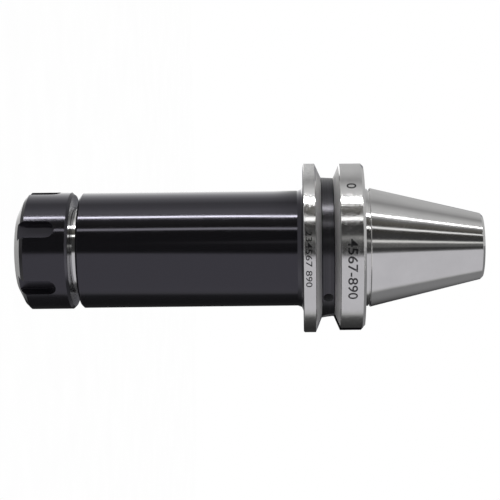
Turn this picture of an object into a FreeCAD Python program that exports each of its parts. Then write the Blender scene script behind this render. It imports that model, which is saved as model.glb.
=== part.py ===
import FreeCAD, Part
import math
import os

os.makedirs("parts", exist_ok=True)

# A collet chuck holder, standing on the nose of its clamping nut with the spindle taper up.
# Millimetres. The origin is the centre of the nose face, on the axis of rotation, which is Z.

# Collet: slotted spring sleeve with a short steep cone in front and a long slow cone behind
collet_head_diameter = 26.0
collet_length = 34.0
collet_bore = 12.0
collet_front_diameter = 20.4
collet_front_angle = 30.0
collet_back_angle = 8.0
collet_recess = 0.4
collet_land_diameter = 25.2
collet_land_end = 5.6
extraction_groove_width = 2.8
extraction_groove_depth = 1.8
collet_edge = 0.4
slit_count = 8
slit_width = 0.9
slit_web = 5.2

# Clearances of the fitted pieces, measured square to the surfaces
seat_clearance = 0.05
thread_clearance = 0.1
stop_clearance = 0.1

# Clamping nut
nut_wall = 6.1
nut_length = 20.1
nut_mouth_diameter = 20.7
nose_land = 5.0
nose_bevel_length = 2.6
nose_edge_width = 1.5
nose_edge_length = 1.5
nut_back_chamfer = 0.95
notch_count = 6
notch_width = 6.2
notch_depth = 3.6
notch_length = 15.3
first_notch_angle = 14.9
lip_thickness = 2.2
lip_play = 0.3
lip_offset = 0.8
lip_bite = 0.95
relief_depth = 1.2

# Holder: threaded spigot, long body, flange and spindle taper, turned from one piece
spigot_wall = 2.5
spigot_start = 10.6
spigot_chamfer = 0.8
nut_gap = 2.8
body_step = 5.95
body_length = 82.2
body_chamfer = 0.75
body_fillet = 2.0
flange_diameter = 63.0
narrow_rim_width = 4.5
groove_flank = 2.3
groove_floor_width = 4.5
groove_depth = 5.2
wide_rim_width = 8.9
rim_chamfer = 1.0
rim_edge = 0.4
key_width = 16.1
key_floor_distance = 22.6
key_end_gap = 0.6
index_hole_diameter = 3.7
index_hole_depth = 5.0
index_hole_angle = -40.5
face_gap = 2.0
face_gap_step = 0.35
relief_groove_width = 0.5
relief_groove_depth = 0.5
gauge_diameter = 44.45
taper_length = 42.4
taper_end_wall = 3.9
taper_end_chamfer = 0.9
gauge_edge = 0.35

# Inside the holder
socket_tail = 3.0
stop_thread_diameter = 17.0
stop_thread_length = 56.0
passage_diameter = 10.0
stud_thread_diameter = 14.0
stud_thread_depth = 24.0
stud_pilot_diameter = 17.0
stud_pilot_depth = 7.0
bore_edge = 0.5

# Length stop screw
stop_length = 16.0
stop_distance = 16.0
stop_hex = 8.0
stop_hex_depth = 7.0
stop_hole = 5.0
stop_edge = 1.0

Z_AXIS = FreeCAD.Vector(0, 0, 1)
ORIGIN = FreeCAD.Vector(0, 0, 0)


def tan(angle):
    return math.tan(math.radians(angle))


def cos(angle):
    return math.cos(math.radians(angle))


def turned(profile):
    """Solid of revolution about Z from (radius, height) points in order."""
    points = [FreeCAD.Vector(radius, 0, height) for radius, height in profile]
    face = Part.Face(Part.makePolygon(points + [points[0]]))
    return face.revolve(ORIGIN, Z_AXIS, 360)


def round_bar(radius, bottom, top):
    return Part.makeCylinder(radius, top - bottom, FreeCAD.Vector(0, 0, bottom))


def turned_copies(shape, count, first_angle):
    """The shape repeated evenly about Z."""
    copies = []
    for step in range(count):
        copy = shape.copy()
        copy.rotate(ORIGIN, Z_AXIS, first_angle + step * 360.0 / count)
        copies.append(copy)
    return copies


# Shared sizes of the collet and of the surfaces that seat it
collet_front = collet_recess
collet_back = collet_front + collet_length
collet_front_radius = collet_front_diameter / 2
collet_land_radius = collet_land_diameter / 2
collet_head_radius = collet_head_diameter / 2
groove_start = collet_front + collet_land_end
groove_end = groove_start + extraction_groove_width
groove_radius = collet_head_radius - extraction_groove_depth
head_height = groove_end + collet_edge
front_cone_end = collet_front + (collet_land_radius - collet_front_radius) / tan(collet_front_angle)
collet_back_radius = collet_head_radius - (collet_back - head_height) * tan(collet_back_angle)

# Collet
collet = turned([
    (collet_bore / 2, collet_front),
    (collet_front_radius, collet_front),
    (collet_land_radius, front_cone_end),
    (collet_land_radius, groove_start),
    (groove_radius, groove_start),
    (groove_radius, groove_end),
    (collet_head_radius - collet_edge, groove_end),
    (collet_head_radius, head_height),
    (collet_back_radius, collet_back),
    (collet_bore / 2, collet_back),
])
slit_reach = collet_head_radius + 2
front_slit = Part.makeBox(slit_reach, slit_width, collet_length - slit_web + 1)
front_slit.translate(FreeCAD.Vector(0, -slit_width / 2, collet_front - 1))
back_slit = Part.makeBox(slit_reach, slit_width, collet_length - slit_web + 1)
back_slit.translate(FreeCAD.Vector(0, -slit_width / 2, collet_front + slit_web))
slits = turned_copies(front_slit, slit_count, 0)
slits += turned_copies(back_slit, slit_count, 180.0 / slit_count)
collet = collet.cut(slits)

# Clamping nut: outside with its bevelled nose
spigot_radius = collet_head_radius + seat_clearance + spigot_wall
nut_thread_radius = spigot_radius + thread_clearance
nut_radius = nut_thread_radius + nut_wall
mouth_radius = nut_mouth_diameter / 2
nose_edge_radius = nut_radius - nose_edge_width
nose_face_radius = min(mouth_radius + nose_land, nose_edge_radius - 1)
nut_body = turned([
    (0, 0),
    (nose_face_radius, 0),
    (nose_edge_radius, nose_bevel_length),
    (nut_radius, nose_bevel_length + nose_edge_length),
    (nut_radius, nut_length - nut_back_chamfer),
    (nut_radius - nut_back_chamfer, nut_length),
    (0, nut_length),
])

# Inside of the nut: mouth, steep seat, eccentric extraction lip, relief and thread
seat_shift = seat_clearance / cos(collet_front_angle)
seat_low_radius = collet_front_radius - collet_front * tan(collet_front_angle) + seat_shift
seat_high_radius = collet_land_radius + 3 * seat_clearance
seat_end = (seat_high_radius - seat_low_radius) / tan(collet_front_angle)
lip_start = groove_start + lip_play
lip_end = min(lip_start + lip_thickness, groove_end - lip_play)
lip_radius = collet_head_radius - lip_bite + 0.15
relief_radius = collet_head_radius + relief_depth
relief_end = spigot_start - 0.6
seat_cone = turned([
    (0, 0),
    (seat_low_radius, 0),
    (seat_high_radius, seat_end),
    (seat_high_radius, lip_start),
    (0, lip_start),
])
mouth_cut = round_bar(mouth_radius, -1, seat_end / 2)
lip_cut = round_bar(lip_radius, lip_start - 0.5, lip_end + 0.5)
lip_cut.translate(FreeCAD.Vector(lip_offset, 0, 0))
relief_cut = turned([
    (0, lip_end),
    (relief_radius, lip_end),
    (relief_radius, relief_end),
    (nut_thread_radius, relief_end),
    (nut_thread_radius, nut_length - bore_edge),
    (nut_thread_radius + bore_edge, nut_length),
    (nut_thread_radius + bore_edge, nut_length + 1),
    (0, nut_length + 1),
])

# Wrench notches: open at the nose, round at the closed end
notch_floor = nut_radius - notch_depth
notch_end_centre = notch_length - notch_width / 2
notch = Part.makeBox(notch_depth + 2, notch_width, notch_end_centre + 1)
notch.translate(FreeCAD.Vector(notch_floor, -notch_width / 2, -1))
notch_end = Part.makeCylinder(
    notch_width / 2,
    notch_depth + 2,
    FreeCAD.Vector(notch_floor, 0, notch_end_centre),
    FreeCAD.Vector(1, 0, 0),
)
notch = notch.fuse(notch_end)
notches = turned_copies(notch, notch_count, first_notch_angle)
clamping_nut = nut_body.cut([seat_cone, mouth_cut, lip_cut, relief_cut] + notches)

# Holder: heights from the nose up
body_front = nut_length + nut_gap
body_radius = spigot_radius + body_step
flange_front = body_front + body_length
flange_radius = flange_diameter / 2
groove_low = flange_front + narrow_rim_width
groove_floor_low = groove_low + groove_flank
groove_floor_high = groove_floor_low + groove_floor_width
groove_high = groove_floor_high + groove_flank
flange_back = groove_high + wide_rim_width
groove_floor_radius = flange_radius - groove_depth
gauge_height = flange_back + face_gap
gauge_radius = gauge_diameter / 2
neck_radius = gauge_radius - face_gap_step
holder_top = gauge_height + taper_length
stud_pilot_radius = stud_pilot_diameter / 2
taper_end_radius = stud_pilot_radius + taper_end_wall

# Outside of the holder; two short cones round the corner between body and flange
fillet_middle = body_fillet * (1 - cos(45))
holder = turned([
    (0, spigot_start),
    (spigot_radius - spigot_chamfer, spigot_start),
    (spigot_radius, spigot_start + spigot_chamfer),
    (spigot_radius, body_front),
    (body_radius - body_chamfer, body_front),
    (body_radius, body_front + body_chamfer),
    (body_radius, flange_front - body_fillet),
    (body_radius + fillet_middle, flange_front - fillet_middle),
    (body_radius + body_fillet, flange_front),
    (flange_radius - rim_edge, flange_front),
    (flange_radius, flange_front + rim_edge),
    (flange_radius, groove_low),
    (groove_floor_radius, groove_floor_low),
    (groove_floor_radius, groove_floor_high),
    (flange_radius, groove_high),
    (flange_radius, flange_back - rim_chamfer),
    (flange_radius - rim_chamfer, flange_back),
    (neck_radius, flange_back),
    (neck_radius, gauge_height - relief_groove_width),
    (neck_radius - relief_groove_depth, gauge_height - relief_groove_width),
    (neck_radius - relief_groove_depth, gauge_height),
    (gauge_radius - gauge_edge, gauge_height),
    (gauge_radius, gauge_height + gauge_edge),
    (taper_end_radius, holder_top - taper_end_chamfer),
    (taper_end_radius - taper_end_chamfer, holder_top),
    (0, holder_top),
])

# Collet socket, stop screw thread, coolant passage and pull stud seat on one axis
socket_shift = seat_clearance / cos(collet_back_angle)
socket_end = collet_back + socket_tail
socket_mouth_radius = collet_head_radius + socket_shift
socket_mouth_radius -= (spigot_start - head_height) * tan(collet_back_angle)
socket_end_radius = collet_head_radius + socket_shift
socket_end_radius -= (socket_end - head_height) * tan(collet_back_angle)
stop_bore_radius = stop_thread_diameter / 2 + stop_clearance
stop_bore_end = socket_end + stop_thread_length
stud_thread_radius = stud_thread_diameter / 2
stud_thread_top = holder_top - stud_pilot_depth
stud_thread_bottom = stud_thread_top - stud_thread_depth
socket = turned([
    (0, spigot_start - 1),
    (socket_mouth_radius + bore_edge, spigot_start - 1),
    (socket_mouth_radius + bore_edge, spigot_start),
    (socket_mouth_radius, spigot_start + bore_edge),
    (socket_end_radius, socket_end),
    (0, socket_end),
])
stop_bore = turned([
    (0, socket_end - 1),
    (stop_bore_radius, socket_end - 1),
    (stop_bore_radius, stop_bore_end),
    (0, stop_bore_end + stop_bore_radius / 2),
])
stud_bore = turned([
    (0, stud_thread_bottom - stud_thread_radius / 2),
    (stud_thread_radius, stud_thread_bottom),
    (stud_thread_radius, stud_thread_top),
    (stud_pilot_radius, stud_thread_top),
    (stud_pilot_radius, holder_top - bore_edge),
    (stud_pilot_radius + bore_edge, holder_top),
    (stud_pilot_radius + bore_edge, holder_top + 1),
    (0, holder_top + 1),
])
passage = round_bar(passage_diameter / 2, stop_bore_end - 1, stud_thread_bottom + 1)

# Two drive keyways across the wide rim and the gripper groove, with round inner ends
key_end = groove_low + key_end_gap
key_depth = flange_radius - key_floor_distance
key_end_centre = key_end + key_width / 2
keyway = Part.makeBox(key_depth + 2, key_width, flange_back - key_end_centre + 1)
keyway.translate(FreeCAD.Vector(key_floor_distance, -key_width / 2, key_end_centre))
keyway_end = Part.makeCylinder(
    key_width / 2,
    key_depth + 2,
    FreeCAD.Vector(key_floor_distance, 0, key_end_centre),
    FreeCAD.Vector(1, 0, 0),
)
keyway = keyway.fuse(keyway_end)
keyways = turned_copies(keyway, 2, 0)

# Blind index hole in the floor of the gripper groove
index_hole = Part.makeCylinder(
    index_hole_diameter / 2,
    index_hole_depth + 1,
    FreeCAD.Vector(groove_floor_radius - index_hole_depth, 0, (groove_floor_low + groove_floor_high) / 2),
    FreeCAD.Vector(1, 0, 0),
)
index_hole.rotate(ORIGIN, Z_AXIS, index_hole_angle)
holder = holder.cut([socket, stop_bore, stud_bore, passage, index_hole] + keyways)

# Length stop screw: hexagon socket towards the tool, drilled through for coolant
stop_radius = stop_thread_diameter / 2
stop_low = socket_end + stop_distance
stop_high = stop_low + stop_length
stop_screw = turned([
    (stop_hole / 2, stop_low),
    (stop_radius - stop_edge, stop_low),
    (stop_radius, stop_low + stop_edge),
    (stop_radius, stop_high - stop_edge),
    (stop_radius - stop_edge, stop_high),
    (stop_hole / 2, stop_high),
])
hex_radius = stop_hex / 2 / cos(30)
hex_corners = []
for step in range(6):
    corner_angle = math.radians(60 * step)
    corner_x = hex_radius * math.cos(corner_angle)
    corner_y = hex_radius * math.sin(corner_angle)
    hex_corners.append(FreeCAD.Vector(corner_x, corner_y, stop_low - 1))
hex_face = Part.Face(Part.makePolygon(hex_corners + [hex_corners[0]]))
hex_socket = hex_face.extrude(FreeCAD.Vector(0, 0, stop_hex_depth + 1))
stop_screw = stop_screw.cut(hex_socket)

holder.exportStep("parts/holder.step")
clamping_nut.exportStep("parts/clamping_nut.step")
collet.exportStep("parts/collet.step")
stop_screw.exportStep("parts/stop_screw.step")
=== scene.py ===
import bmesh
import bpy
import math
from mathutils import Matrix, Vector


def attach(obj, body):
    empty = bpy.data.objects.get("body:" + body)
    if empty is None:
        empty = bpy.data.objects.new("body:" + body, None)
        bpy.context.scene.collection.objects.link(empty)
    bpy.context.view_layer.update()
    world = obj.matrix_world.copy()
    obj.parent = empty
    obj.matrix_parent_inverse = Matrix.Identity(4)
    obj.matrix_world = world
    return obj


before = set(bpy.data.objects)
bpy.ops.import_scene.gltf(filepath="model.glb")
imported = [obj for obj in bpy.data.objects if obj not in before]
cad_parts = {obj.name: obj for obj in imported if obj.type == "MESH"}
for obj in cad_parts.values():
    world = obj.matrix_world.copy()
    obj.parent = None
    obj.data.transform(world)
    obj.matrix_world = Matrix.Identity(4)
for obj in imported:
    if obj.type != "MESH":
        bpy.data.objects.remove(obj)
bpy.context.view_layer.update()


# CAMERA
# The photograph looks square at the side of the holder, which lies with its taper to the right.
# The holder stands on its nose here, so the camera is rolled until the picture's right is up (+Z).
camera_height = 0.104
camera_distance = 0.540
camera_bearing = math.radians(-83.8)
camera_roll = math.radians(0.63)
picture_size = 500
focal_pixels = 1442.7
axis_pixel = (300.0, 248.05)
camera_data = bpy.data.cameras.new("camera")
camera_data.sensor_width = 36.0
camera_data.lens = focal_pixels / picture_size * camera_data.sensor_width
camera_data.shift_x = 0.5 - axis_pixel[0] / picture_size
camera_data.shift_y = axis_pixel[1] / picture_size - 0.5
camera_data.clip_start = 0.01
camera_data.clip_end = 20.0
camera = bpy.data.objects.new("camera", camera_data)
bpy.context.scene.collection.objects.link(camera)
bpy.context.scene.camera = camera
outward = Vector((math.cos(camera_bearing), math.sin(camera_bearing), 0))
picture_right = Vector((0, 0, 1))
picture_up = picture_right.cross(-outward)
square_on = Matrix((picture_right, picture_up, outward)).transposed()
rolled = square_on @ Matrix.Rotation(-camera_roll, 3, "Z")
standpoint = outward * camera_distance + Vector((0, 0, camera_height))
camera.matrix_world = Matrix.Translation(standpoint) @ rolled.to_4x4()


# STUDIO
# A white room with a broad pale table light below, dark flags, and two long strip lights above the camera.
# They run along the holder's axis, so the room is one gradient round it, with other lights at its two ends.
table_light = (0.565, 0.558, 0.585)
table_lean = 0.0095
flag_light = (0.15, 0.15, 0.17, 1.0)
board_light = (0.80, 0.80, 0.78, 1.0)
low_glow_light = (0.22, 0.22, 0.225, 1.0)
backdrop_light = (1.0, 1.0, 1.0, 1.0)
strip_edge = 0.4
strip_sag = 0.0055


def wire(tree, kind, inputs=(), **settings):
    """A shader node with its settings, and its inputs linked or set in order; None leaves one alone."""
    made = tree.nodes.new(kind)
    for name, value in settings.items():
        setattr(made, name, value)
    for socket, value in zip(made.inputs, inputs):
        if isinstance(value, bpy.types.NodeSocket):
            tree.links.new(value, socket)
        elif value is not None:
            socket.default_value = value
    return made.outputs[0]


def calculate(tree, operation, first, second=0.0, third=0.0):
    """One sum on up to three values."""
    return wire(tree, "ShaderNodeMath", (first, second, third), operation=operation)


def fade(tree, value, start, end, low=0.0, high=1.0):
    """A soft step from low to high as value goes from start to end."""
    limits = (value, start, end, low, high)
    return wire(tree, "ShaderNodeMapRange", limits, interpolation_type="SMOOTHSTEP")


def ramp(tree, value, stops):
    """A gradient from (position, colour) stops."""
    made = tree.nodes.new("ShaderNodeValToRGB")
    tree.links.new(value, made.inputs["Fac"])
    elements = made.color_ramp.elements
    while len(elements) < len(stops):
        elements.new(1.0)
    for element, (position, colour) in zip(elements, stops):
        element.position = position
        element.color = (*colour, 1.0)
    return made.outputs["Color"]


def round_the_axis(stops):
    """Stops given by an angle and a grey or a colour.

    The angle is in degrees from the camera's side of the axis, and grows upwards in the picture.
    """
    found = []
    for angle, light in stops:
        colour = light if isinstance(light, tuple) else (light, light, light)
        found.append((angle / 360 + 0.5, colour))
    return found


def mixed(tree, factor, first, second, blend="MIX"):
    """Two lights, colours or values: the first where the factor is 0 and the second where it is 1."""
    colour = isinstance(first, tuple) or getattr(first, "type", "VALUE") == "RGBA"
    kind = "RGBA" if colour else "FLOAT"
    node = wire(tree, "ShaderNodeMix", data_type=kind, blend_type=blend).node
    low, high, result = (6, 7, 2) if colour else (2, 3, 0)
    pairs = ((node.inputs["Factor"], factor), (node.inputs[low], first), (node.inputs[high], second))
    for socket, value in pairs:
        if isinstance(value, bpy.types.NodeSocket):
            tree.links.new(value, socket)
        else:
            socket.default_value = value
    return node.outputs[result]


world = bpy.data.worlds.new("studio")
bpy.context.scene.world = world
world.use_nodes = True
room = world.node_tree
room.nodes.clear()
room_direction = wire(room, "ShaderNodeTexCoord")
separate = room.nodes.new("ShaderNodeSeparateXYZ")
room.links.new(room_direction, separate.inputs[0])
bearing = calculate(room, "ARCTAN2", separate.outputs["Y"], separate.outputs["X"])
from_camera = camera_bearing / (2 * math.pi) + 0.5
around = calculate(room, "MULTIPLY_ADD", bearing, -1 / (2 * math.pi), from_camera)
around = calculate(room, "FRACT", calculate(room, "ADD", around, 1.0))
up = separate.outputs["Z"]

# The table light's edge leans a little. Above it come the dark flags, and then the pale wall.
lean = fade(room, up, -0.19, 0.06, table_lean, -table_lean)
lean = calculate(room, "MULTIPLY", lean, fade(room, around, 0.56, 0.52))
walls = ramp(room, calculate(room, "SUBTRACT", around, lean), round_the_axis([
    (-180, 0.4), (-174, 0.03), (-160, 0.03), (-135, 0.03), (-118, 0.05), (-106, 0.09), (-102, 0.22),
    (-98, 0.47), (-90, table_light), (-10, table_light), (-8, 0.14), (-4, 0.04), (26, 0.04),
    (33, (0.041, 0.040, 0.037)), (45, (0.053, 0.051, 0.046)), (54, (0.106, 0.101, 0.090)), (61, 0.14),
    (64, 0.4), (75, 0.58), (86, 0.52), (97, 0.36), (103, 0.28), (113, 0.40),
    (126, 0.48), (180, 0.52),
]))

# A soft box is added to the walls for what looks a little towards the nose.
side_box = ramp(room, around, round_the_axis([
    (60, 0.0), (66, 0.4), (80, 0.35), (90, 0.14), (105, 0.18),
    (118, 0.32), (130, 0.6), (145, 0.9), (180, 0.9),
]))
lights = mixed(room, fade(room, up, 0.0, -0.02), walls, side_box, "ADD")

# The strip lights sag a little over the shank, and reach the taper at another angle and strength.
sag = fade(room, up, -0.05, 0.0, 0.0, strip_sag)
sag = calculate(room, "MULTIPLY", sag, fade(room, up, 0.12, 0.05))
for start, end, rise, full, on_the_taper in (
    (66.0, 70.2, -0.0055, 18.0, 4.5),
    (39.0, 42.7, -0.0015, 2.34, 1.10),
):
    bent = calculate(room, "ADD", sag, fade(room, up, 0.30, 0.37, 0.0, rise))
    strip = ramp(room, calculate(room, "ADD", around, bent), round_the_axis([
        (start, 0.0), (start + strip_edge, 1.0), (end - strip_edge, 1.0), (end, 0.0),
    ]))
    strength = fade(room, up, 0.28, 0.40, full, on_the_taper)
    strong = wire(room, "ShaderNodeVectorMath", (strip, strength), operation="MULTIPLY")
    lights = mixed(room, 1.0, lights, strong, "ADD")

# A dark flag hangs behind, for what looks a little towards the taper's end.
behind = calculate(room, "MAXIMUM", fade(room, around, 0.94, 0.97), fade(room, around, 0.06, 0.03))
behind = calculate(room, "MULTIPLY", behind, fade(room, up, 0.11, 0.14))
lights = mixed(room, behind, lights, flag_light)

# Soft lights stand off both ends. The nut's own is dark behind, for the edge of its bevel.
soft_ends = calculate(room, "MAXIMUM", fade(room, up, -0.30, -0.60), fade(room, up, 0.80, 0.95))
taper_end = ramp(room, around, round_the_axis([(-180, 1.1), (-60, 1.0), (0, 0.8), (30, 0.5), (180, 0.5)]))
nut_end = ramp(room, around, round_the_axis([
    (-180, 0.44), (-150, 0.40), (-125, 0.8), (-60, 0.8), (0, 0.46), (120, 0.46), (158, 0.62), (180, 0.44),
]))
nut_rim = ramp(room, around, round_the_axis([
    (-180, 0.06), (-150, 0.06), (-130, 0.46), (130, 0.46), (150, 0.26), (180, 0.26),
]))
nut_end = mixed(room, fade(room, up, -0.62, -0.42), nut_end, nut_rim)
end_light = mixed(room, fade(room, up, 0.1, -0.1), taper_end, nut_end)
lights = mixed(room, soft_ends, lights, end_light)

# A pale board stands just above the camera, strongest on the taper, and a dim glow lies low behind.
board = ramp(room, around, round_the_axis([
    (-2, 0.0), (0, 0.09), (9, 0.12), (11, 1.0), (14.4, 1.0), (15.8, 0.0),
]))
board = calculate(room, "MULTIPLY", board, fade(room, up, -0.15, 0.31))
lights = mixed(room, board, lights, board_light)
low_glow = calculate(room, "MULTIPLY", fade(room, around, 0.236, 0.20), fade(room, up, 0.10, 0.32))
lights = mixed(room, low_glow, lights, low_glow_light)

# The white of the picture itself is a plain backdrop.
seen_directly = room.nodes.new("ShaderNodeLightPath").outputs["Is Camera Ray"]
lights = mixed(room, seen_directly, lights, backdrop_light)
background = wire(room, "ShaderNodeBackground", (lights,))
world_output = room.nodes.new("ShaderNodeOutputWorld")
room.links.new(background, world_output.inputs["Surface"])
bpy.context.scene.view_settings.view_transform = "Standard"


# FLOOR
# A plain white sheet under the nose, bright enough to lose its edge in the white room.
# From below it is clear, so that the nut's face and the collet can be looked at.
floor_radius = 0.9
floor_drop = 0.0002
paper_fleck_scale = 60.0
paper_shades = [(0.3, (1.0, 1.0, 1.0)), (0.8, (0.985, 0.985, 0.985))]
floor_mesh = bpy.data.meshes.new("floor")
floor_form = bmesh.new()
bmesh.ops.create_circle(floor_form, cap_ends=True, segments=96, radius=floor_radius)
floor_form.to_mesh(floor_mesh)
floor_form.free()
floor = bpy.data.objects.new("floor", floor_mesh)
bpy.context.scene.collection.objects.link(floor)
floor.location.z = -floor_drop
floor.visible_glossy = False
paper = bpy.data.materials.new("white_sheet")
paper.use_nodes = True
paper.node_tree.nodes.clear()
paper_fleck = wire(paper.node_tree, "ShaderNodeTexNoise", (None, None, paper_fleck_scale, 2.0))
paper_shade = ramp(paper.node_tree, paper_fleck, paper_shades)
paper_light = wire(paper.node_tree, "ShaderNodeEmission", (paper_shade, 1.0))
underneath = paper.node_tree.nodes.new("ShaderNodeNewGeometry").outputs["Backfacing"]
see_through = wire(paper.node_tree, "ShaderNodeBsdfTransparent")
paper_light = wire(paper.node_tree, "ShaderNodeMixShader", (underneath, paper_light, see_through))
paper_output = paper.node_tree.nodes.new("ShaderNodeOutputMaterial")
paper.node_tree.links.new(paper_light, paper_output.inputs["Surface"])
floor_mesh.materials.append(paper)


# HOLDER
# One piece of case-hardened steel, turned and milled, then blackened all over by a hot oxide bath.
# The taper, the flange's rims, the groove's flanks and the spigot are ground bright afterwards.
# Sizes are in metres: heights are taken from the nose of the nut, and other places from the axis.
black_oxide = (0.064, 0.062, 0.073, 1.0)
oxide_lustre = 0.93
oxide_index = 1.68
oxide_roughness = (0.08, 0.11)
ringed_oxide = [(0.35, (0.046, 0.045, 0.050)), (0.65, (0.104, 0.102, 0.112))]
ringed_roughness = 0.22
# Painted shade for the groove floor's two corners, used below.
groove_corner_painted_shade = (0.018, 0.018, 0.021, 1.0)
# Painted light for the inside of the index hole, used below.
index_hole_painted_light = (0.12, 0.12, 0.125, 1.0)
ground_steel = ((0.75, 0.745, 0.74), (0.80, 0.795, 0.79))
taper_roughness = (0.08, 0.105)
rim_roughness = (0.115, 0.19)
flank_roughness = 0.50
line_depths = (0.000001, 0.0000015)
speckle_depths = (0.0000012, 0.0000032)
body_front = 0.0229
flange_front = 0.1051
groove_low = 0.1096
groove_high = 0.1187
flange_back = 0.1276
flange_radius = 0.0315
groove_floor_radius = 0.0263
floor_band = (0.0255, 0.0275)
corner_shade_band = (0.0018, 0.0021)
keyway_half_width = 0.00808
keyway_floor = 0.0225
keyway_front = 0.1101
index_hole_height = (0.1115, 0.1170)
index_hole_bottom = 0.0160
index_hole_mouth = groove_floor_radius - 0.0002
taper_foot = flange_back - 0.00005
rims_inside = flange_radius - 0.0006
rims_front = flange_front + 0.0003
flanks_inside = groove_floor_radius + 0.00015
flanks_front = groove_low - 0.0002
spigot_top = body_front + 0.00001
spigot_outside = 0.0165
bores_outside = 0.0134


def both(tree, *conditions):
    """1 where all the conditions hold, and 0 elsewhere."""
    result = conditions[0]
    for condition in conditions[1:]:
        result = calculate(tree, "MULTIPLY", result, condition)
    return result


def either(tree, *conditions):
    """1 where any of the conditions holds, and 0 elsewhere."""
    result = conditions[0]
    for condition in conditions[1:]:
        result = calculate(tree, "MAXIMUM", result, condition)
    return result


def above(tree, value, limit):
    """1 where the value is over the limit."""
    return calculate(tree, "GREATER_THAN", value, limit)


def below(tree, value, limit):
    """1 where the value is under the limit."""
    return calculate(tree, "LESS_THAN", value, limit)


def start_metal(name, ior):
    """A material with its shader and the place on the piece: x, y, height and distance from the axis."""
    metal = bpy.data.materials.new(name)
    metal.use_nodes = True
    tree = metal.node_tree
    tree.nodes.clear()
    shader = tree.nodes.new("ShaderNodeBsdfPrincipled")
    shader.inputs["IOR"].default_value = ior
    output = tree.nodes.new("ShaderNodeOutputMaterial")
    tree.links.new(shader.outputs[0], output.inputs["Surface"])
    spot = tree.nodes.new("ShaderNodeTexCoord").outputs["Object"]
    parts = tree.nodes.new("ShaderNodeSeparateXYZ")
    tree.links.new(spot, parts.inputs[0])
    x, y, z = parts.outputs
    squared = calculate(tree, "MULTIPLY_ADD", x, x, calculate(tree, "MULTIPLY", y, y))
    radius = calculate(tree, "SQRT", squared)
    return metal, tree, shader, spot, (x, y, z, radius)


def tool_lines(tree, height, radius, pitch):
    """Fine rings left by turning or grinding: noise that changes along the axis and outwards only."""
    place = wire(tree, "ShaderNodeCombineXYZ", (height, radius, 0.0))
    return wire(tree, "ShaderNodeTexNoise", (place, None, 1 / pitch, 3.0, 0.7))


def grain(tree, spot, size, detail=2.0):
    """Specks or clouds of about this size, the same in every direction."""
    return wire(tree, "ShaderNodeTexNoise", (spot, None, 1 / size, detail, 0.6))


def between(tree, pattern, low, high):
    """A value that wanders between two limits with the pattern."""
    return fade(tree, pattern, 0.3, 0.7, low, high)


def shaded(tree, pattern, dark, light):
    """A colour that wanders between two shades with the pattern."""
    return ramp(tree, pattern, [(0.3, dark), (0.7, light)])


def relief(tree, shader, layers, edge=0.00018):
    """Stacked bumps of (height pattern, depth) over softly broken edges."""
    normal = wire(tree, "ShaderNodeBevel", (edge,), samples=4)
    for pattern, depth in layers:
        bump = tree.nodes.new("ShaderNodeBump")
        bump.inputs["Strength"].default_value = 1.0
        if isinstance(depth, bpy.types.NodeSocket):
            tree.links.new(depth, bump.inputs["Distance"])
        else:
            bump.inputs["Distance"].default_value = depth
        tree.links.new(pattern, bump.inputs["Height"])
        tree.links.new(normal, bump.inputs["Normal"])
        normal = bump.outputs[0]
    tree.links.new(normal, shader.inputs["Normal"])


def dress(piece, metal):
    """The piece takes this one material in place of its own."""
    piece.data.materials.clear()
    piece.data.materials.append(metal)


holder_metal, tree, shader, spot, (x, y, z, radius) = start_metal("oxide_and_ground_steel", oxide_index)
side = calculate(tree, "ABSOLUTE", x)
across = calculate(tree, "ABSOLUTE", y)
keyway = both(
    tree, below(tree, across, keyway_half_width), above(tree, side, keyway_floor),
    above(tree, z, keyway_front), below(tree, z, taper_foot),
)
ground_taper = above(tree, z, taper_foot)
ground_rims = both(tree, above(tree, radius, rims_inside), above(tree, z, rims_front))
ground_flanks = both(tree, above(tree, radius, flanks_inside), above(tree, z, flanks_front))
ground_spigot = both(tree, below(tree, z, spigot_top), below(tree, radius, spigot_outside))
ground_bores = below(tree, radius, bores_outside)
ground = either(tree, ground_taper, ground_rims, ground_flanks, ground_spigot, ground_bores)
ground = both(tree, ground, calculate(tree, "SUBTRACT", 1.0, keyway))
in_groove = both(
    tree, above(tree, z, groove_low), below(tree, z, groove_high), above(tree, radius, floor_band[0]),
)
groove_floor = both(tree, in_groove, below(tree, radius, floor_band[1]))
flanks = both(tree, in_groove, ground_flanks)
index_hole = both(
    tree, above(tree, z, index_hole_height[0]), below(tree, z, index_hole_height[1]),
    above(tree, radius, index_hole_bottom), below(tree, radius, index_hole_mouth),
)
lines = tool_lines(tree, z, radius, pitch=0.00035)
speckle = grain(tree, spot, size=0.0007)
cloud = grain(tree, spot, size=0.009, detail=3.0)
rim_cloud = grain(tree, spot, size=0.0011, detail=4.0)
steel_tone = shaded(tree, cloud, *ground_steel)
oxide_and_painted_light = mixed(tree, groove_floor, black_oxide, ramp(tree, lines, ringed_oxide))
# Painted shade: the groove floor is darkened along its two corners, where the flanks shade it.
from_middle = calculate(tree, "ABSOLUTE", calculate(tree, "SUBTRACT", z, (groove_low + groove_high) / 2))
corner = both(tree, groove_floor, fade(tree, from_middle, *corner_shade_band))
oxide_and_painted_light = mixed(tree, corner, oxide_and_painted_light, groove_corner_painted_shade)
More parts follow.
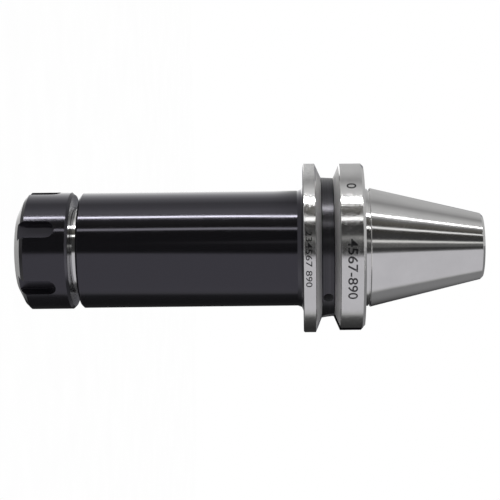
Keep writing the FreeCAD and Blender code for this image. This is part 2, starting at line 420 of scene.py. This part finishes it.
# Painted light: the inside of the index hole is painted a flat pale grey, and is not metallic in the mix
# below, to stand for the room light that reaches into it.
oxide_and_painted_light = mixed(tree, index_hole, oxide_and_painted_light, index_hole_painted_light)
tree.links.new(mixed(tree, ground, oxide_and_painted_light, steel_tone), shader.inputs["Base Color"])
lustre = mixed(tree, ground, mixed(tree, index_hole, oxide_lustre, 0.0), 1.0)
tree.links.new(lustre, shader.inputs["Metallic"])
oxide_gloss = between(tree, cloud, *oxide_roughness)
oxide_gloss = mixed(tree, groove_floor, oxide_gloss, ringed_roughness)
ground_gloss = between(tree, cloud, *taper_roughness)
ground_gloss = mixed(tree, flanks, ground_gloss, flank_roughness)
rim_gloss = fade(tree, rim_cloud, 0.40, 0.62, *rim_roughness)
ground_gloss = mixed(tree, ground_rims, ground_gloss, rim_gloss)
tree.links.new(mixed(tree, ground, oxide_gloss, ground_gloss), shader.inputs["Roughness"])
relief(tree, shader, [
    (lines, mixed(tree, ground, *line_depths)),
    (speckle, mixed(tree, ground_rims, *speckle_depths)),
])
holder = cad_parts["holder"]
dress(holder, holder_metal)


# THREADS OF THE HOLDER
# The spigot's right-handed thread, cut with the holder, runs out before the smooth collar next to the body.
# It swells past the nut's bore only above the nut, in the gap where it is seen.
# The pull stud's thread is tapped down the small end of the taper and is seen from above.
nut_pitch = 0.0015
spigot_thread_ends = (0.0112, 0.0213)
swell = (0.0199, 0.02025)
hidden_crest = 0.01563
spigot_crest = 0.01595
spigot_root = 0.0154
stud_pitch = 0.0020
stud_thread_ends = (0.1416, 0.1649)
stud_root = 0.00702
stud_crest = 0.00668
runout = 0.0005
base_share = 0.41
crest_share = 0.08
steps_a_turn = 96


def spigot_profile(height):
    """The crest's distance from the axis: low inside the nut, full in the open gap."""
    share = min(max((height - swell[0]) / (swell[1] - swell[0]), 0), 1)
    return hidden_crest + (spigot_crest - hidden_crest) * share


def wind_ridge(name, ends, pitch, root, crest_at):
    """One thread ridge wound up the axis, right-handed, fading out at both ends."""
    form = bmesh.new()
    half_base = pitch * base_share
    half_crest = pitch * crest_share
    previous = None
    for step in range(int((ends[1] - ends[0]) / pitch * steps_a_turn) + 1):
        angle = step * 2 * math.pi / steps_a_turn
        height = ends[0] + pitch * step / steps_a_turn
        share = min((height - ends[0]) / runout, (ends[1] - height) / runout, 1)
        crest = root + (crest_at(height) - root) * max(share, 0)
        corners = ((root, -half_base), (crest, -half_crest), (crest, half_crest), (root, half_base))
        section = []
        for distance, offset in corners:
            place = (distance * math.cos(angle), distance * math.sin(angle), height + offset)
            section.append(form.verts.new(place))
        if previous:
            for index in range(4):
                following = (index + 1) % 4
                form.faces.new((previous[index], section[index], section[following], previous[following]))
        else:
            form.faces.new(section)
        previous = section
    form.faces.new(previous[::-1])
    bmesh.ops.recalc_face_normals(form, faces=form.faces)
    mesh = bpy.data.meshes.new(name)
    form.to_mesh(mesh)
    form.free()
    mesh.materials.append(holder_metal)
    ridge = bpy.data.objects.new(name, mesh)
    bpy.context.scene.collection.objects.link(ridge)
    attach(ridge, "holder")


wind_ridge("spigot_thread", spigot_thread_ends, nut_pitch, spigot_root, spigot_profile)
wind_ridge("stud_thread", stud_thread_ends, stud_pitch, stud_root, lambda height: stud_crest)


# RIM NUMERALS
# Plain running numerals etched dark into the two ground rims, read from the flange's top edge down.
# They are thin dark sheets wrapped on the rims, cut into strips fine enough to lie round.
etch_black = ((0.006, 0.006, 0.007), (0.014, 0.014, 0.015))
etch_roughness = (0.08, 0.12)
etch_grain_depth = 0.000001
strips = 90
etch_metal, tree, shader, spot, (x, y, z, radius) = start_metal("etched_numerals", oxide_index)
fleck = grain(tree, spot, size=0.0004)
tree.links.new(shaded(tree, fleck, *etch_black), shader.inputs["Base Color"])
tree.links.new(between(tree, fleck, *etch_roughness), shader.inputs["Roughness"])
relief(tree, shader, [(fleck, etch_grain_depth)])


def etch(name, words, height, foot, start, end, stroke):
    """Numerals wrapped on the flange's rim.

    They are this high, stand on a foot this far above the nose, run from start to end in degrees
    round the axis, and have the stroke added to the thickness of their lines.
    """
    lettering = bpy.data.curves.new(name, "FONT")
    lettering.body = words
    lettering.resolution_u = 3
    lettering.offset = stroke
    written = bpy.data.objects.new(name, lettering)
    flat = written.to_mesh()
    form = bmesh.new()
    form.from_mesh(flat)
    written.to_mesh_clear()
    bpy.data.objects.remove(written)
    left = min(vertex.co.x for vertex in form.verts)
    right = max(vertex.co.x for vertex in form.verts)
    low = min(vertex.co.y for vertex in form.verts)
    high = max(vertex.co.y for vertex in form.verts)
    for strip in range(1, strips):
        cut_at = Vector((left + (right - left) * strip / strips, 0, 0))
        everything = form.verts[:] + form.edges[:] + form.faces[:]
        bmesh.ops.bisect_plane(form, geom=everything, plane_co=cut_at, plane_no=(1, 0, 0))
    for vertex in form.verts:
        angle = math.radians(start + (end - start) * (vertex.co.x - left) / (right - left))
        rise = foot + height * (vertex.co.y - low) / (high - low)
        vertex.co = (flange_radius * math.cos(angle), flange_radius * math.sin(angle), rise)
    mesh = bpy.data.meshes.new(name)
    form.to_mesh(mesh)
    form.free()
    mesh.materials.append(etch_metal)
    sheet = bpy.data.objects.new(name, mesh)
    bpy.context.scene.collection.objects.link(sheet)
    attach(sheet, "holder")


etch(
    "wide_rim_numerals", "0            4567-890",
    height=0.0036, foot=0.1209, start=-131.0, end=-48.0, stroke=0.012,
)
etch(
    "narrow_rim_numerals", "234567 890",
    height=0.0023, foot=0.1060, start=-95.0, end=-57.5, stroke=0.006,
)


# CLAMPING NUT
# Turned steel nut with six wrench notches, blackened with the bath's thick oxide before its nose was turned.
# Its nose face and bevel are bare bright steel, and its seat and thread are ground inside.
bare_steel = (0.64, 0.635, 0.63, 1.0)
bare_roughness = 0.25
nut_oxide_roughness = (0.10, 0.14)
notch_roughness = 0.36
# Painted light for the nut's oxide rear face, used below.
rear_face_painted_light = (0.26, 0.26, 0.28, 1.0)
bevel_black = (0.024, 0.023, 0.026, 1.0)
nut_line_depth = 0.0000008
nut_speckle_depth = 0.000002
nose_height = 0.00262
nose_outside = 0.0204
nut_bores_outside = 0.0159
nut_bores_low = 0.0001
notch_floor = 0.0162
notch_outside = 0.0215
rear_face_inside = 0.0157
rear_face_low = 0.0190
nut_thread_low = 0.0101
nut_thread_inside = 0.0152
nut_thread_outside = 0.0162
thread_depth = 0.0006


def thread(tree, x, y, height, pitch):
    """Height of a right-handed thread's flanks, from 0 at the root to 1/2 at the crest."""
    turn = calculate(tree, "MULTIPLY", calculate(tree, "ARCTAN2", y, x), 1 / (2 * math.pi))
    along = calculate(tree, "MULTIPLY_ADD", height, 1 / pitch, calculate(tree, "SUBTRACT", 10.0, turn))
    return calculate(tree, "PINGPONG", along, 0.5)


nut_metal, tree, shader, spot, (x, y, z, radius) = start_metal("oxide_nut_with_bright_nose", oxide_index)
facing = tree.nodes.new("ShaderNodeSeparateXYZ")
tree.links.new(tree.nodes["Texture Coordinate"].outputs["Normal"], facing.inputs[0])
upward = facing.outputs["Z"]
facing_down = below(tree, upward, -0.3)
facing_out = both(tree, below(tree, upward, 0.2), above(tree, upward, -0.2))
facing_up = above(tree, upward, 0.9)
nose = both(tree, below(tree, z, nose_height), facing_down, below(tree, radius, nose_outside))
inside = both(tree, below(tree, radius, nut_bores_outside), above(tree, z, nut_bores_low))
bright = either(tree, nose, inside)
lines = tool_lines(tree, z, radius, pitch=0.0004)
speckle = grain(tree, spot, size=0.0008)
cloud = grain(tree, spot, size=0.008, detail=3.0)
notches = both(tree, facing_out, below(tree, radius, notch_outside), above(tree, radius, notch_floor))
rear_face = both(tree, facing_up, above(tree, radius, rear_face_inside), above(tree, z, rear_face_low))
dark_bevel = both(tree, facing_down, above(tree, radius, nose_outside))
# Painted light: the nut's rear face is oxide like the rest, but is painted a lighter blue grey for the light
# it catches.
nut_tone = mixed(tree, rear_face, black_oxide, rear_face_painted_light)
nut_tone = mixed(tree, dark_bevel, nut_tone, bevel_black)
nut_tone = mixed(tree, bright, nut_tone, bare_steel)
tree.links.new(nut_tone, shader.inputs["Base Color"])
tree.links.new(mixed(tree, bright, oxide_lustre, 1.0), shader.inputs["Metallic"])
nut_gloss = between(tree, cloud, *nut_oxide_roughness)
nut_gloss = mixed(tree, notches, nut_gloss, notch_roughness)
nut_gloss = mixed(tree, either(tree, bright, rear_face), nut_gloss, bare_roughness)
tree.links.new(nut_gloss, shader.inputs["Roughness"])
nut_thread = both(
    tree, above(tree, z, nut_thread_low),
    below(tree, radius, nut_thread_outside), above(tree, radius, nut_thread_inside),
)
relief(tree, shader, [
    (lines, nut_line_depth),
    (speckle, nut_speckle_depth),
    (thread(tree, x, y, z, nut_pitch), calculate(tree, "MULTIPLY", nut_thread, thread_depth)),
])
clamping_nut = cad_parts["clamping_nut"]
dress(clamping_nut, nut_metal)


# COLLET
# Spring steel sleeve, hardened and ground all over, which sits loose in the nut's lip and the socket.
# Slits are sawn from its two ends in turn, so that it can close on a tool all along its bore.
spring_steel = ((0.62, 0.615, 0.61), (0.70, 0.695, 0.69))
spring_steel_roughness = (0.2, 0.3)
collet_line_depth = 0.0000008
collet_metal, tree, shader, spot, (x, y, z, radius) = start_metal("ground_spring_steel", ior=1.5)
lines = tool_lines(tree, z, radius, pitch=0.0003)
cloud = grain(tree, spot, size=0.005, detail=3.0)
tree.links.new(shaded(tree, cloud, *spring_steel), shader.inputs["Base Color"])
shader.inputs["Metallic"].default_value = 1.0
tree.links.new(between(tree, lines, *spring_steel_roughness), shader.inputs["Roughness"])
relief(tree, shader, [(lines, collet_line_depth)])
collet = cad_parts["collet"]
dress(collet, collet_metal)


# STOP SCREW
# Hollow set screw, turned from bar, threaded outside and left dull black.
# It is screwed into the bore behind the collet with a hexagon key, and stops the tool at a set depth.
dull_black = ((0.012, 0.012, 0.013), (0.03, 0.03, 0.031))
dull_roughness = (0.35, 0.5)
screw_speckle_depth = 0.000004
screw_pitch = 0.0015
screw_thread_inside = 0.0083
screw_metal, tree, shader, spot, (x, y, z, radius) = start_metal("dull_oxide", ior=1.5)
speckle = grain(tree, spot, size=0.0006)
tree.links.new(shaded(tree, speckle, *dull_black), shader.inputs["Base Color"])
tree.links.new(between(tree, speckle, *dull_roughness), shader.inputs["Roughness"])
screw_thread = above(tree, radius, screw_thread_inside)
relief(tree, shader, [
    (speckle, screw_speckle_depth),
    (thread(tree, x, y, z, screw_pitch), calculate(tree, "MULTIPLY", screw_thread, thread_depth)),
])
stop_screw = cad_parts["stop_screw"]
dress(stop_screw, screw_metal)
